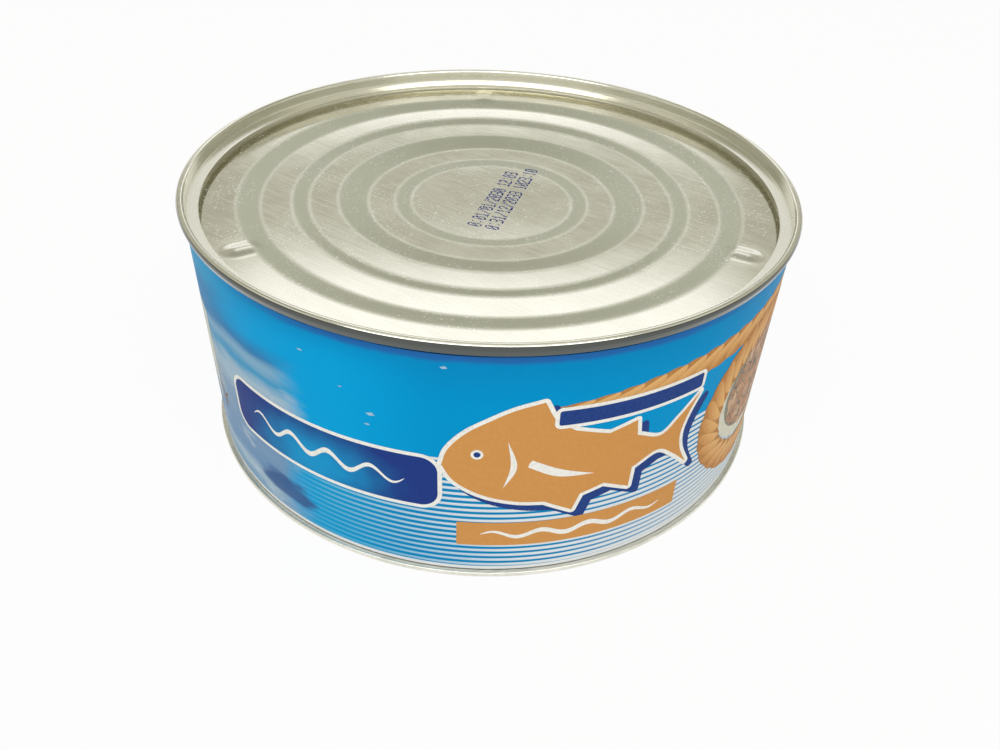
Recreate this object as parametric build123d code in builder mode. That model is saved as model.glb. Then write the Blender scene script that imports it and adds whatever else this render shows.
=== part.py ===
"""Tuna can: a wide, low food can, closed at both ends, with a paper label round its wall.

Units are millimetres.  +Z is up and the origin is the centre of the circle that the can stands on.
-Y is the front of the label.  The pieces are the filled body, the lid, the base and the label.
"""

import os

from build123d import *

# Whole can
can_height = 67.7
rim_radius = 78.5  # outside of the lid's seam and of the foot under the can

# Filled body: the tinplate wall and what is in it, as one solid
rim_overhang = 1.7  # how far both rims stand out past the wall
wall_radius = rim_radius - rim_overhang

# Tinplate of both ends
sheet_thickness = 0.25
crown_fillet = 0.8  # rounding of a rim where it is highest, on its inner and its outer edge

# Double seam of the lid
seam_height = 3.2
seam_width = 1.75  # across the top of the seam, from its outside to the recess
seam_taper = 0.7  # how much the seam draws in towards its lower edge
seam_straight = 1.3  # how far below the top the seam starts to draw in
seam_lip_fillet = 0.8

# Foot rim of the base, with a flat top of its own to stand on
foot_height = 1.5
foot_width = 2.2
foot_taper = 0.2
foot_straight = 0.95
foot_lip_fillet = 0.3

belly_fillet = 0.5  # where the outside of either rim starts to draw in

# Recess inside each rim: a nearly upright wall, a narrow groove and the panel
recess_lean = 0.75  # how far the recess wall leans in over its height
groove_depth = 6.0
groove_width = 1.2
groove_fillet = 0.55
panel_rise = 0.6  # how far the panel stands above the groove
panel_rise_width = 0.9
panel_edge_fillet = 1.1

# The panel's flat rings, from the outside in: width, and how far the ring falls across that width
ring_widths = (9.3, 9.2, 8.8, 8.4)
ring_falls = (0.05, 0.05, 0.1, 0.05)

# The slope at the inner edge of each ring: width, and how far it falls
slope_widths = (4.4, 2.8, 6.2, 2.8)
slope_falls = (0.9, 0.65, 1.3, 0.45)
slope_top_fillet = 6.0
slope_foot_fillet = 4.0

# Short ribs that stand on the outermost ring, pointing at the centre
rib_count = 3
rib_start_angle = 93.0
rib_length = 8.4
rib_width = 4.2
rib_height = 0.7
rib_inset = 1.3  # from the edge of the panel to the outer end of a rib
rib_taper = 45.0  # slope of a rib's flanks, from upright
rib_fillet = 0.4

# Paper label
label_thickness = 0.5  # the paper with the slack under it
label_top_gap = 0.3
label_foot_gap = 0.2
lap_width = 8.0
lap_thickness = 0.15
lap_angle = 90.0  # the glued lap is at the back


def recess_wall_radius(rim_width, depth):
    """Radius of the recess wall at a depth below the rim's highest edge."""
    return rim_radius - rim_width - recess_lean * depth / groove_depth


def panel_corners(rim_width):
    """Corners (radius, depth, fillet) of an end, from the top of its recess wall to the last slope."""
    groove_outer = recess_wall_radius(rim_width, groove_depth)
    radius = groove_outer - groove_width
    depth = groove_depth
    corners = [
        (recess_wall_radius(rim_width, 0), 0, crown_fillet),
        (groove_outer, depth, groove_fillet),
        (radius, depth, groove_fillet),
    ]
    radius -= panel_rise_width
    depth -= panel_rise
    corners.append((radius, depth, panel_edge_fillet))
    for ring_width, ring_fall, slope_width, slope_fall in zip(ring_widths, ring_falls, slope_widths, slope_falls):
        radius -= ring_width
        depth += ring_fall
        corners.append((radius, depth, slope_top_fillet))
        radius -= slope_width
        depth += slope_fall
        corners.append((radius, depth, slope_foot_fillet))
    return corners


def hidden_corners(rim_width, rim_height):
    """Corners of an end's hidden side, which rests on the filled body, from the rim to the axis."""
    start = (recess_wall_radius(rim_width, rim_height - sheet_thickness) + sheet_thickness, rim_height, 0)
    shifted = [
        (radius + sheet_thickness, depth + sheet_thickness, fillet_radius)
        for radius, depth, fillet_radius in panel_corners(rim_width)[1:]
    ]
    return [start] + shifted + [(0, shifted[-1][1], 0)]


def end_corners(rim_width, rim_height, rim_straight, rim_taper, lip_fillet):
    """Closed outline of an end: out under the rim, over it, in along the panel, and back underneath."""
    visible = panel_corners(rim_width)
    rim = [
        (rim_radius - rim_taper, rim_height, lip_fillet),
        (rim_radius, rim_straight, belly_fillet),
        (rim_radius, 0, crown_fillet),
    ]
    hidden = hidden_corners(rim_width, rim_height)
    return rim + visible + [(0, visible[-1][1], 0)] + hidden[::-1]


def at_lid(corners):
    """Corners with their depth turned into a height, for the end at the top."""
    return [(radius, can_height - depth, fillet_radius) for radius, depth, fillet_radius in corners]


def at_base(corners):
    """Corners with their depth turned into a height, for the end at the bottom."""
    return [(radius, depth, fillet_radius) for radius, depth, fillet_radius in corners]


def draw_outline(corners):
    """Draw a closed outline of corners, each with its own fillet, in the current BuildLine."""
    points = [(radius, height) for radius, height, fillet_radius in corners]
    fillets = [fillet_radius for radius, height, fillet_radius in corners]
    FilletPolyline(*points, radius=fillets, close=True)


# Filled body, up to the hidden side of both ends
top_corners = at_lid(hidden_corners(seam_width, seam_height))
bottom_corners = at_base(hidden_corners(foot_width, foot_height))
wall_top = (wall_radius, can_height - seam_height, 0)
wall_bottom = (wall_radius, foot_height, 0)
with BuildPart() as can_body:
    with BuildSketch(Plane.XZ):
        with BuildLine():
            draw_outline([wall_bottom, wall_top] + top_corners + bottom_corners[::-1])
        make_face()
    revolve(axis=Axis.Z)

# Ribs of the lid, cut off where they meet the filled body
panel_edge_radius, panel_edge_depth, panel_edge_rounding = panel_corners(seam_width)[3]
rib_centre_radius = panel_edge_radius - rib_inset - rib_length / 2
rib_root = ring_falls[0] + sheet_thickness  # so that a rib starts below the sheet at both its ends
with BuildPart() as ribs:
    with BuildSketch(Plane.XY.offset(can_height - panel_edge_depth - rib_root)):
        with PolarLocations(rib_centre_radius, rib_count, start_angle=rib_start_angle):
            SlotOverall(rib_length + 2 * rib_root, rib_width + 2 * rib_root)
    extrude(amount=rib_root + rib_height, taper=rib_taper)
    fillet(ribs.edges().group_by(Axis.Z)[-1], rib_fillet)
    add(can_body.part, mode=Mode.SUBTRACT)

# Lid with its double seam and its stepped rings
lid_outline = at_lid(end_corners(seam_width, seam_height, seam_straight, seam_taper, seam_lip_fillet))
with BuildPart() as lid:
    with BuildSketch(Plane.XZ):
        with BuildLine():
            draw_outline(lid_outline)
        make_face()
    revolve(axis=Axis.Z)
    add(ribs.part)

# Base: the same rings seen from below, inside the foot rim
base_outline = at_base(end_corners(foot_width, foot_height, foot_straight, foot_taper, foot_lip_fillet))
with BuildPart() as base:
    with BuildSketch(Plane.XZ):
        with BuildLine():
            draw_outline(base_outline)
        make_face()
    revolve(axis=Axis.Z)

# Label: a sleeve of paper with one glued lap
label_radius = wall_radius + label_thickness
label_bottom = foot_height + label_foot_gap
label_height = can_height - seam_height - label_top_gap - label_bottom
with BuildPart() as label:
    with BuildSketch(Plane.XY.offset(label_bottom)):
        Circle(label_radius)
        Circle(wall_radius, mode=Mode.SUBTRACT)
    extrude(amount=label_height)
    with BuildSketch(Plane.XY.offset(label_bottom)):
        Circle(label_radius + lap_thickness)
        with PolarLocations(label_radius, 1, start_angle=lap_angle):
            Rectangle(label_radius, lap_width, mode=Mode.INTERSECT)
        Circle(wall_radius, mode=Mode.SUBTRACT)
    extrude(amount=label_height)

os.makedirs("parts", exist_ok=True)

can_body.part.label = "can_body"
export_step(can_body.part, "parts/can_body.step")
lid.part.label = "lid"
export_step(lid.part, "parts/lid.step")
base.part.label = "base"
export_step(base.part, "parts/base.step")
label.part.label = "label"
export_step(label.part, "parts/label.step")
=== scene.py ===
"""Looks of a wide, low tuna can: tinplate ends, a printed paper label and a plain studio.

Sizes are in millimetres and are turned to metres where a mesh is made. +Z is up, -Y is the label's front.
"""
import logging
import math
import random
from collections.abc import Callable, Iterable
from dataclasses import dataclass, field, replace
from enum import Enum
from functools import reduce

import bmesh
import bpy
from mathutils import Matrix, Vector, noise


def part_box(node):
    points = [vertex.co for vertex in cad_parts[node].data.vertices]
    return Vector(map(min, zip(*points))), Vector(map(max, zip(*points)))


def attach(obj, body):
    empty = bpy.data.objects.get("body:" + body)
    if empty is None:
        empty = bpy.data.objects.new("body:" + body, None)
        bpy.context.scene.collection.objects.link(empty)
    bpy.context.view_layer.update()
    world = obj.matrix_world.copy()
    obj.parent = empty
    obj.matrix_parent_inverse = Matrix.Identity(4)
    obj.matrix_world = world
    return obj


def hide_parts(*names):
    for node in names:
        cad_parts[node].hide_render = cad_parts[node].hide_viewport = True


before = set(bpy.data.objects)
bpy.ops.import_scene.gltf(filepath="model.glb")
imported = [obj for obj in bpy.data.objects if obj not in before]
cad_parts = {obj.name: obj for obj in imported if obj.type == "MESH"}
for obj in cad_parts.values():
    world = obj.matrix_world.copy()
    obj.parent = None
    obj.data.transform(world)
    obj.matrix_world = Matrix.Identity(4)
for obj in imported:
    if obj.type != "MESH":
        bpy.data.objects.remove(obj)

LOG = logging.getLogger("tuna_can")
MM = 0.001
BODY = "root"
ROUND_STEPS = 240  # segments round the can, about 2 mm each
PAPER_GLOSS = 0.03  # specular level of coated paper and offset ink, which shine far less than plastic
PAPER_IOR = 1.5
Outline = list[tuple[float, float]]  # points in millimetres
Socket = bpy.types.NodeSocket
Tree = bpy.types.NodeTree
Material = bpy.types.Material
Mesh = bmesh.types.BMesh


class Slot(Enum):
    """The record's material slots."""

    WALL = "tinplate_wall"
    END = "tinplate_end"
    PAPER = "label_paper"


# ---------------------------------------------------------------- colour and nodes


def srgb(code: str) -> tuple[float, float, float, float]:
    """Turn an sRGB hex colour into Blender's linear colour.

    Args:
        code: six hex digits, with or without a leading hash.

    Returns:
        Linear red, green, blue and an alpha of one.
    """
    digits = code.lstrip("#")
    channels = [int(digits[i:i + 2], 16) / 255 for i in (0, 2, 4)]
    linear = [c / 12.92 if c <= 0.04045 else ((c + 0.055) / 1.055) ** 2.4 for c in channels]
    return (linear[0], linear[1], linear[2], 1.0)


def add_node(tree: Tree, kind: str, inputs: dict | None = None, **settings: object) -> bpy.types.Node:
    """Add a node, set its properties, and fill or link its inputs.

    Args:
        tree: the node tree to add to.
        kind: the node's type, such as "ShaderNodeMath".
        inputs: input name or index to a value, or to an output socket to link from.
        settings: properties of the node, such as operation="ADD".

    Returns:
        The new node.
    """
    node = tree.nodes.new(kind)
    for name, value in settings.items():
        setattr(node, name, value)
    for key, value in (inputs or {}).items():
        if isinstance(value, Socket):
            tree.links.new(value, node.inputs[key])
        else:
            node.inputs[key].default_value = value
    return node


def calc(tree: Tree, operation: str, *values: object) -> Socket:
    """Do one sum on sockets or numbers and return the output socket."""
    return add_node(tree, "ShaderNodeMath", dict(enumerate(values)), operation=operation).outputs[0]


def times(tree: Tree, *values: object) -> Socket:
    """Multiply sockets or numbers, from the first to the last."""
    return reduce(lambda a, b: calc(tree, "MULTIPLY", a, b), values)


def plus(tree: Tree, *values: object) -> Socket:
    """Add sockets or numbers up, from the first to the last."""
    return reduce(lambda a, b: calc(tree, "ADD", a, b), values)


def smooth(tree: Tree, value: object, low: object, high: object) -> Socket:
    """Rise smoothly from 0 at low to 1 at high; low may be the larger one, for a fall."""
    sockets = {"Value": value, "From Min": low, "From Max": high}
    return add_node(tree, "ShaderNodeMapRange", sockets, interpolation_type="SMOOTHSTEP").outputs["Result"]


def window(tree: Tree, value: object, start: float, full: float, fade: float, end: float) -> Socket:
    """Rise smoothly from 0 at start to 1 at full, and fall again from 1 at fade to 0 at end."""
    return times(tree, smooth(tree, value, start, full), smooth(tree, value, end, fade))


def mixed(tree: Tree, factor: object, first: object, second: object) -> Socket:
    """Mix two numbers: the first where the factor is 0 and the second where it is 1."""
    return plus(tree, times(tree, calc(tree, "SUBTRACT", 1.0, factor), first), times(tree, factor, second))


def blend(tree: Tree, factor: object, first: object, second: object) -> Socket:
    """Mix two colours by a factor and return the colour socket."""
    return add_node(tree, "ShaderNodeMix", {0: factor, 6: first, 7: second}, data_type="RGBA").outputs[2]


@dataclass
class Surface:
    """A new material with its node tree, its shader and its Object coordinates."""

    name: str

    def __post_init__(self) -> None:
        """Make the material and clear its tree down to one shader and one output."""
        self.material = bpy.data.materials.new(self.name)
        self.material.use_nodes = True
        self.tree = self.material.node_tree
        self.tree.nodes.clear()
        self.shader = add_node(self.tree, "ShaderNodeBsdfPrincipled")
        output = add_node(self.tree, "ShaderNodeOutputMaterial")
        self.tree.links.new(self.shader.outputs[0], output.inputs["Surface"])
        self.place = add_node(self.tree, "ShaderNodeTexCoord").outputs["Object"]

    def put(self, name: str, value: object) -> None:
        """Set one of the shader's own sockets, or link a pattern to it.

        Args:
            name: the socket's name.
            value: a number, a colour, or an output socket to link from.
        """
        if isinstance(value, Socket):
            self.tree.links.new(value, self.shader.inputs[name])
        else:
            self.shader.inputs[name].default_value = value

    def noise(self, size_mm: float, detail: float = 2.0, stretch: tuple = (1, 1, 1), turn: float = 0.0,
              roughness: float = 0.5) -> Socket:
        """Noise whose features are about size_mm across.

        Args:
            size_mm: size of one feature in millimetres.
            detail: finer layers on top.
            stretch: how much longer the features are along each axis.
            turn: angle about Z by which the stretch is turned, in degrees.
            roughness: strength of the finer layers.

        Returns:
            The noise's factor socket, from 0 to 1.
        """
        turned = add_node(self.tree, "ShaderNodeMapping",
                          {"Vector": self.place, "Rotation": (0, 0, math.radians(turn))})
        shares = tuple(1 / s for s in stretch)
        scaled = add_node(self.tree, "ShaderNodeMapping", {"Vector": turned.outputs[0], "Scale": shares})
        sockets = {"Vector": scaled.outputs[0], "Scale": 1 / (size_mm * MM), "Detail": detail,
                   "Roughness": roughness}
        return add_node(self.tree, "ShaderNodeTexNoise", sockets).outputs["Fac"]

    def bump(self, height: Socket, depth_mm: float) -> None:
        """Add relief of a real depth in millimetres."""
        sockets = {"Height": height, "Distance": depth_mm * MM}
        self.put("Normal", add_node(self.tree, "ShaderNodeBump", sockets).outputs[0])

    def printed(self, roughness: object) -> Material:
        """Give the shader the low gloss of coated paper.

        Args:
            roughness: the shader's roughness, as a number or a socket.

        Returns:
            The finished material.
        """
        self.put("Roughness", roughness)
        self.put("IOR", PAPER_IOR)
        self.put("Specular IOR Level", PAPER_GLOSS)
        return self.material


def radius_of(s: Surface) -> Socket:
    """Distance from the can's axis, in metres."""
    flat = add_node(s.tree, "ShaderNodeVectorMath", {0: s.place, 1: (1, 1, 0)}, operation="MULTIPLY")
    return add_node(s.tree, "ShaderNodeVectorMath", {0: flat.outputs[0]}, operation="LENGTH").outputs["Value"]


# ---------------------------------------------------------------- finishes


@dataclass(frozen=True)
class Tinplate:
    """Rolled tinplate: steel sheet with a thin melted tin coat, satin grey with a warm tint.

    The rolls leave very fine lines one way, which show as a soft streaked sheen, and the sheet carries a
    little dust and oil from the cannery.
    """

    name: str
    light: str
    shade: str
    roughness: float
    dust: float
    grain_turn: float = 35.0
    grain_size: float = 0.4
    drawn: tuple = ()  # inner and outer radius of each slope
    # painted shade: grey colour for the slopes
    slope_painted_shade: str = "#C0C1AF"
    drawn_roughness: float = 0.26
    drawn_fade: tuple = (1.6, 0.2)  # how far outside and inside its edges a slope's finish fades
    gutter: tuple = ()  # inner and outer radius of the groove and the recess wall
    # painted light: an even pale colour for the groove and the recess wall
    gutter_painted_light: str = "#E6E4D8"
    gutter_dullness: float = 0.5  # shares of the slopes' roughness
    rib_dullness: float = 0.25
    rib_radius: float = 0.0
    rib_angle: float = 0.0
    rib_reach: float = 7.5
    seam_radius: float = 0.0
    seam_height: float = 0.0
    # painted reflection: dark grey for the seam's outer side
    seam_painted_shade: str = "#5B5E5A"
    dust_colour: str = "#FBFAF4"
    dust_radius: tuple = (76.0, 75.0)  # none on the rim, which is handled

    def build(self) -> Material:
        """Make the material.

        Returns:
            The finished material.
        """
        s = Surface(self.name)
        tree = s.tree
        # Rolling lines are some 0.02 mm wide; they are drawn 0.4 mm wide so that they show at all
        grain = s.noise(self.grain_size, 2, stretch=(25, 1, 1), turn=self.grain_turn)
        cloud = s.noise(9, 3)
        tone = plus(tree, times(tree, grain, 0.55), times(tree, cloud, 0.45))
        colour = blend(tree, smooth(tree, tone, 0.35, 0.65), srgb(self.shade), srgb(self.light))
        radius = times(tree, radius_of(s), 1 / MM)
        dull = self.on_slopes(tree, radius)
        # Painted shade: the slopes are coloured grey, darker than the rings
        colour = blend(tree, dull, colour, srgb(self.slope_painted_shade))
        for low, high in self.gutter:
            deep = window(tree, radius, low - 0.4, low + 0.4, high - 0.1, high + 0.1)
            # Painted light: the groove and the recess wall are coloured an even pale grey that lifts their
            # shade
            colour = blend(tree, deep, colour, srgb(self.gutter_painted_light))
            dull = calc(tree, "MAXIMUM", dull, times(tree, deep, self.gutter_dullness))
        if self.rib_radius:
            dull = calc(tree, "MAXIMUM", dull, times(tree, self.on_ribs(s, radius), self.rib_dullness))
        if self.seam_radius:
            # Painted reflection: the seam's outer side is coloured dark grey
            colour = blend(tree, self.on_seam(s, radius), colour, srgb(self.seam_painted_shade))
        patch = smooth(tree, s.noise(16, 3), 0.3, 0.6)
        speck = times(tree, smooth(tree, s.noise(0.5, 0), 0.70, 0.75), patch,
                      smooth(tree, radius, *self.dust_radius), self.dust)
        s.put("Base Color", blend(tree, speck, colour, srgb(self.dust_colour)))
        s.put("Metallic", calc(tree, "SUBTRACT", 1.0, times(tree, speck, 0.8)))
        rough = calc(tree, "MULTIPLY_ADD", grain, 0.06, self.roughness - 0.05)
        rough = plus(tree, rough, times(tree, cloud, 0.04))
        s.put("Roughness", calc(tree, "MULTIPLY_ADD", dull, self.drawn_roughness, rough))
        s.bump(grain, 0.0008)
        return s.material

    def on_slopes(self, tree: Tree, radius: Socket) -> object:
        """Mask of the slopes, which get a rougher finish and a painted grey shade.

        Args:
            tree: the material's node tree.
            radius: distance from the axis in millimetres.

        Returns:
            1 on the slopes and 0 off them, as a socket, or plain 0 where the sheet has none.
        """
        mask: object = 0.0
        outside, inside = self.drawn_fade
        for low, high in self.drawn:
            slope = window(tree, radius, low - outside, low + inside, high - inside, high + outside)
            mask = calc(tree, "MAXIMUM", mask, slope)
        return mask

    def on_ribs(self, s: Surface, radius: Socket) -> Socket:
        """Mask of the ribs, which stand a third of a turn apart.

        Args:
            s: the surface whose tree gets the nodes.
            radius: distance from the axis in millimetres.

        Returns:
            1 at the middle of each rib, fading with the distance from it.
        """
        tree = s.tree
        parts = add_node(tree, "ShaderNodeSeparateXYZ", {0: s.place}).outputs
        turn = calc(tree, "ARCTAN2", parts["Y"], parts["X"])
        turn = calc(tree, "SUBTRACT", turn, math.radians(self.rib_angle))
        turn = calc(tree, "WRAP", turn, math.pi / 3, -math.pi / 3)
        along = calc(tree, "SUBTRACT", radius, self.rib_radius)
        across = times(tree, turn, radius)
        away = calc(tree, "SQRT", plus(tree, times(tree, along, along), times(tree, across, across)))
        return smooth(tree, away, self.rib_reach, self.rib_reach * 0.6)

    def on_seam(self, s: Surface, radius: Socket) -> Socket:
        """Mask of the seam's outer side, which gets a painted dark grey that stands in for the reflection of
        the dark room in front.

        Args:
            s: the surface whose tree gets the nodes.
            radius: distance from the axis in millimetres.

        Returns:
            1 on the seam's side and 0 elsewhere.
        """
        outside = smooth(s.tree, radius, self.seam_radius - 0.9, self.seam_radius - 0.5)
        height = add_node(s.tree, "ShaderNodeSeparateXYZ", {0: s.place}).outputs["Z"]
        under = smooth(s.tree, height, (self.seam_height - 0.15) * MM, (self.seam_height - 0.4) * MM)
        return times(s.tree, outside, under)


@dataclass(frozen=True)
class PlainInk:
    """Offset printing ink on coated paper: an even colour, barely mottled, with the paper's low gloss."""

    name: str
    colour: str
    mottle: str
    roughness: float = 0.42

    def build(self) -> Material:
        """Make the material.

        Returns:
            The finished material.
        """
        s = Surface(self.name)
        cloud = smooth(s.tree, s.noise(0.8, 2), 0.35, 0.7)
        s.put("Base Color", blend(s.tree, cloud, srgb(self.colour), srgb(self.mottle)))
        s.bump(s.noise(0.6, 2), 0.003)
        return s.printed(self.roughness)


@dataclass(frozen=True)
class RoundTheCan:
    """Sockets for a place on the label: arc length from the front line and height, both in millimetres."""

    arc: Socket
    height: Socket

    @classmethod
    def on(cls, s: Surface, radius: float, repeat: float) -> "RoundTheCan":
        """Work the two lengths out from Object coordinates.

        Args:
            s: the surface whose tree gets the nodes.
            radius: the label's radius in millimetres.
            repeat: arc after which the print starts again, in millimetres.

        Returns:
            The two sockets; the arc runs from minus to plus half a repeat.
        """
        tree = s.tree
        parts = add_node(tree, "ShaderNodeSeparateXYZ", {0: s.place}).outputs
        angle = calc(tree, "ARCTAN2", parts["X"], times(tree, parts["Y"], -1.0))
        arc = calc(tree, "WRAP", times(tree, angle, radius), repeat / 2, -repeat / 2)
        return cls(arc, times(tree, parts["Z"], 1 / MM))

    def away(self, tree: Tree, middle: tuple, size: tuple) -> Socket:
        """Square of the distance from a middle.

        Args:
            tree: the node tree to add to.
            middle: arc and height of the middle.
            size: the distance along the arc, and up, that counts as one.

        Returns:
            The square, which is one on an ellipse of that size.
        """
        along = times(tree, calc(tree, "SUBTRACT", self.arc, middle[0]), 1 / size[0])
        up = times(tree, calc(tree, "SUBTRACT", self.height, middle[1]), 1 / size[1])
        return plus(tree, times(tree, along, along), times(tree, up, up))


@dataclass(frozen=True)
class LabelPaper:
    """Coated label paper, printed blue all over, with pale rulings low down and hazy clouds at the left.

    Fields that end in _arc or _height say where a part fades, in millimetres: from nothing to full and,
    where there are four, from full to nothing again.
    """

    name: str
    radius: float
    repeat: float
    label_top: float
    can_top: float
    sky: str = "#0093D0"
    # painted light: a brighter blue where the light falls most strongly
    painted_highlight_blue: str = "#02A1DE"
    painted_highlight_arc: tuple = (-118.0, -90.0, -34.0, -6.0)
    painted_highlight_height: tuple = (66.0, 56.0)
    # painted shade: a deeper blue towards the top edge, shaded by the seam
    deep: str = "#048AC5"
    painted_top_shade_height: tuple = (50.0, 64.0)
    haze: tuple = (
        (5.0, "#86A9C8"), (9.5, "#A6BED0"), (13.5, "#7296BC"), (20.0, "#7A9ABD"), (30.0, "#88A4C2"),
        (37.5, "#A3BDD1"), (41.5, "#4A9BC8"), (45.5, "#83AECC"), (50.0, "#347FB6"), (55.0, "#2583BC"),
        (61.0, "#259ACE"),
    )
    haze_arc: tuple = (-118.0, -98.0)
    haze_low_arc: tuple = (-40.0, -50.0)
    haze_high_arc: tuple = (-52.0, -78.0)
    haze_split_height: tuple = (48.0, 54.0)
    cloud: str = "#B9CAD8"
    cloud_share: float = 0.65
    cloud_height: tuple = (46.0, 40.0)
    storm: str = "#3A5E92"
    storm_share: float = 0.92
    storm_middle: tuple = (-51.5, 10.4)
    storm_size: tuple = (11.5, 4.3)
    ruling_pale: str = "#DFE3E6"
    ruling_cyan: str = "#49ABD6"
    ruling_gap: str = "#0A86C0"
    ruling_gap_left: str = "#149BD2"
    ruling_gap_washed: str = "#BCCBD8"
    ruling_pitch: float = 1.65
    ruling_top: float = 36.9
    ruling_share: float = 0.42
    ruling_growth: float = 0.2
    ruling_edge: float = 0.06
    ruling_arc: tuple = (-52.0, -36.0, 98.0, 112.0)
    bare: str = "#E4E7E9"
    bare_height: tuple = (2.9, 2.6)
    # painted shadow of the seam's overhang on the paper
    seam_shadow_blue: str = "#2A5CA8"
    seam_shadow_share: float = 0.8
    seam_shadow_arc: tuple = (-70.0, -30.0, 36.0, 80.0)

    def build(self) -> Material:
        """Make the material.

        Returns:
            The finished material.
        """
        s = Surface(self.name)
        tree = s.tree
        at = RoundTheCan.on(s, self.radius, self.repeat)
        # Painted light: a brighter blue low down and left of the front
        painted_highlight = times(tree, window(tree, at.arc, *self.painted_highlight_arc),
                       smooth(tree, at.height, *self.painted_highlight_height))
        # Painted shade: the blue deepens towards the top, under the seam's overhang
        colour = blend(tree, smooth(tree, at.height, *self.painted_top_shade_height), srgb(self.sky), srgb(self.deep))
        colour = blend(tree, painted_highlight, colour, srgb(self.painted_highlight_blue))
        colour = self.with_clouds(s, at, colour)
        colour = self.with_rulings(tree, at, colour)
        # A dark patch of sea low down at the left
        ragged = calc(tree, "MULTIPLY_ADD", s.noise(8, 4, stretch=(1.6, 1.6, 0.6)), 2.4, -1.2)
        away = plus(tree, at.away(tree, self.storm_middle, self.storm_size), ragged)
        storm = times(tree, smooth(tree, away, 1.25, 0.55), self.storm_share)
        colour = blend(tree, storm, colour, srgb(self.storm))
        # The unprinted white edge at the foot of the paper
        colour = blend(tree, smooth(tree, at.height, *self.bare_height), colour, srgb(self.bare))
        # Painted shadow: a deeper blue strip along the top edge, where the seam's overhang shades the paper
        wavy = plus(tree, s.noise(6, 2), calc(tree, "SUBTRACT", at.height, 0.5))
        seam_shadow = smooth(tree, wavy, self.label_top - 2.4, self.label_top - 0.9)
        ends = times(tree, window(tree, at.arc, *self.seam_shadow_arc), self.seam_shadow_share)
        colour = blend(tree, times(tree, seam_shadow, ends), colour, srgb(self.seam_shadow_blue))
        s.put("Base Color", blend(tree, times(tree, s.noise(0.9, 2), 0.06), colour, srgb("#000000")))
        s.bump(s.noise(0.5, 2), 0.004)
        return s.printed(calc(tree, "MULTIPLY_ADD", s.noise(5, 3), 0.12, 0.36))

    def with_clouds(self, s: Surface, at: RoundTheCan, colour: Socket) -> Socket:
        """Print hazy layers of cloud at the left of each print, sinking a little towards the left.

        Args:
            s: the surface whose tree gets the nodes.
            at: the place on the label.
            colour: what is printed so far.

        Returns:
            The colour with the clouds.
        """
        tree = s.tree
        wisp = s.noise(13, 3, stretch=(2.6, 2.6, 0.7), roughness=0.55)
        level = plus(tree, at.height, calc(tree, "MULTIPLY_ADD", wisp, 13.0, -6.5))
        level = plus(tree, level, times(tree, plus(tree, at.arc, 60), -0.10))
        haze = add_node(tree, "ShaderNodeValToRGB", {0: times(tree, level, 1 / self.can_top)})
        ramp = haze.color_ramp
        ramp.interpolation = "EASE"
        ramp.elements.remove(ramp.elements[0])
        lowest, *others = self.haze
        ramp.elements[0].position = lowest[0] / self.can_top
        ramp.elements[0].color = srgb(lowest[1])
        for height, tone in others:
            ramp.elements.new(height / self.can_top).color = srgb(tone)
        edge = calc(tree, "MULTIPLY_ADD", wisp, 26.0, calc(tree, "SUBTRACT", at.arc, 13.0))
        low, high = self.haze_split_height
        low_left = times(tree, smooth(tree, edge, *self.haze_low_arc), smooth(tree, at.height, high, low))
        high_left = times(tree, smooth(tree, edge, *self.haze_high_arc), smooth(tree, at.height, low, high))
        left = times(tree, plus(tree, low_left, high_left), smooth(tree, at.arc, *self.haze_arc))
        colour = blend(tree, left, colour, haze.outputs["Color"])
        puffs = s.noise(7, 4, stretch=(2.2, 2.2, 0.7), roughness=0.6)
        puff = times(tree, left, smooth(tree, puffs, 0.56, 0.68), smooth(tree, at.height, *self.cloud_height))
        return blend(tree, times(tree, puff, self.cloud_share), colour, srgb(self.cloud))

    def with_rulings(self, tree: Tree, at: RoundTheCan, colour: Socket) -> Socket:
        """Print pale lines on a deeper blue, wider and paler towards the right.

        Args:
            tree: the material's node tree.
            at: the place on the label.
            colour: what is printed so far.

        Returns:
            The colour with the rulings.
        """
        below = smooth(tree, at.height, self.ruling_top + 0.1, self.ruling_top - 0.1)
        ruled = times(tree, window(tree, at.arc, *self.ruling_arc), below)
        share = plus(tree, times(tree, smooth(tree, at.arc, -24, 34), self.ruling_growth), self.ruling_share)
        down = calc(tree, "SUBTRACT", self.ruling_top, at.height)
        phase = calc(tree, "FRACT", times(tree, down, 1 / self.ruling_pitch))
        line = times(tree, smooth(tree, phase, 0.0, self.ruling_edge),
                     smooth(tree, phase, plus(tree, share, self.ruling_edge), share))
        paleness = smooth(tree, plus(tree, at.arc, times(tree, at.height, 0.7)), -34, 22)
        pale = blend(tree, paleness, srgb(self.ruling_cyan), srgb(self.ruling_pale))
        wash = times(tree, smooth(tree, at.arc, 16, 66), smooth(tree, at.height, 26, 4), 0.85)
        gap = blend(tree, wash, srgb(self.ruling_gap), srgb(self.ruling_gap_washed))
        gap = blend(tree, smooth(tree, at.arc, -12, -40), gap, srgb(self.ruling_gap_left))
        return blend(tree, ruled, colour, blend(tree, line, gap, pale))


@dataclass(frozen=True)
class BadgeInk:
    """Printed navy field that glows blue towards its middle."""

    name: str
    radius: float
    repeat: float
    middle: tuple
    size: tuple = (21.0, 11.0)
    rim: str = "#233B82"
    glow: str = "#1A93CC"

    def build(self) -> Material:
        """Make the material.

        Returns:
            The finished material.
        """
        s = Surface(self.name)
        tree = s.tree
        at = RoundTheCan.on(s, self.radius, self.repeat)
        away = calc(tree, "SQRT", at.away(tree, self.middle, self.size))
        away = plus(tree, away, calc(tree, "MULTIPLY_ADD", s.noise(6, 3), 0.5, -0.25))
        s.put("Base Color", blend(tree, smooth(tree, away, 1.25, 0.1), srgb(self.rim), srgb(self.glow)))
        s.bump(s.noise(0.6, 2), 0.003)
        return s.printed(0.40)


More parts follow.
